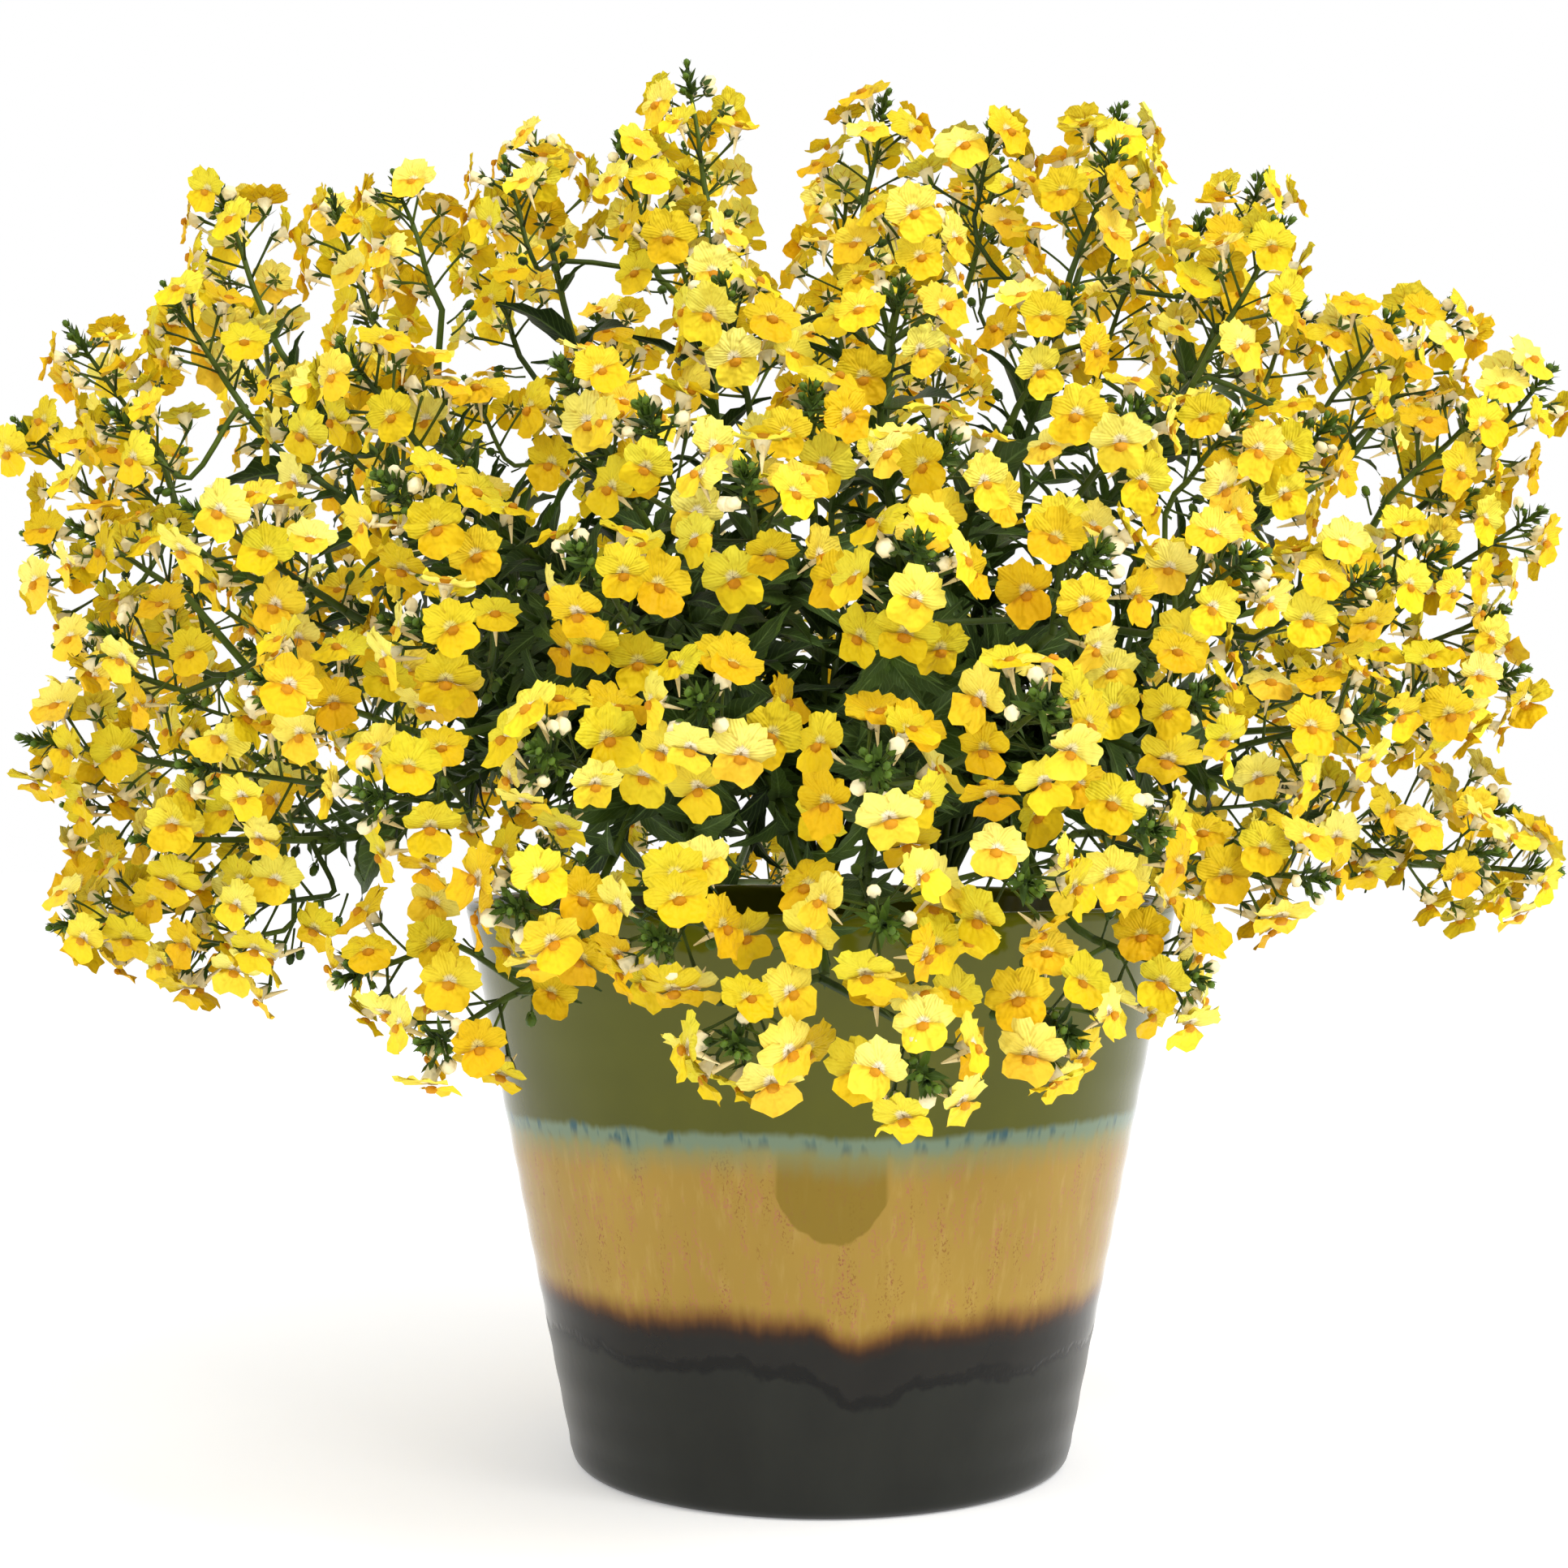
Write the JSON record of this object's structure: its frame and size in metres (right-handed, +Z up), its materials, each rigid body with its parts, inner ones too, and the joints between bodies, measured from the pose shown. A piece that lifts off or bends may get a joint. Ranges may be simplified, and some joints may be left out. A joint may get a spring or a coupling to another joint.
{
  "type": "potted nemesia",
  "caption": "Nemesia in full yellow flower, with spreading and hanging stems, growing in a tapered glazed ceramic pot.",
  "frame": {"origin": "middle of the pot's flat foot, on the surface that it stands on", "axes": "+Z up along the pot's axis, -Y towards the side that the picture shows, +X to its right"},
  "size_m": [0.5562, 0.5049, 0.4932],
  "materials": {
    "pot_glaze": "gloss",
    "soil": "matte",
    "foliage": "satin",
    "petals": "satin"
  },
  "bodies": {
    "root": {"pot": "pot_glaze", "soil": "soil", "plant_back": "foliage", "plant_left": "foliage", "plant_right": "foliage", "flower_spray_01": "petals", "flower_spray_02": "petals", "flower_spray_03": "petals", "flower_spray_04": "petals", "flower_spray_05": "petals", "flower_spray_06": "petals", "flower_spray_07": "petals", "flower_spray_08": "petals", "flower_spray_09": "petals", "flower_spray_10": "petals", "flower_spray_11": "petals", "flower_spray_12": "petals", "flower_spray_13": "petals", "flower_spray_14": "petals", "flower_spray_15": "petals", "flower_spray_16": "petals", "flower_spray_17": "petals", "flower_spray_18": "petals", "flower_spray_19": "petals", "flower_spray_20": "petals", "flower_spray_21": "petals", "flower_spray_22": "petals", "flower_spray_23": "petals", "flower_spray_24": "petals", "flower_spray_25": "petals", "flower_spray_26": "petals", "flower_spray_27": "petals", "flower_spray_28": "petals", "flower_spray_29": "petals", "flower_spray_30": "petals", "flower_spray_31": "petals", "flower_spray_32": "petals", "flower_spray_33": "petals", "flower_spray_34": "petals", "flower_spray_35": "petals", "flower_spray_36": "petals", "flower_spray_37": "petals", "flower_spray_38": "petals", "flower_spray_39": "petals", "flower_spray_40": "petals", "flower_spray_41": "petals", "flower_spray_42": "petals", "flower_spray_43": "petals", "flower_spray_44": "petals", "flower_spray_45": "petals", "flower_spray_46": "petals", "flower_spray_47": "petals", "flower_spray_48": "petals", "flower_spray_49": "petals", "flower_spray_50": "petals", "flower_spray_51": "petals", "flower_spray_52": "petals", "flower_spray_53": "petals", "flower_spray_54": "petals", "flower_spray_55": "petals"}
  },
  "joints": []
}
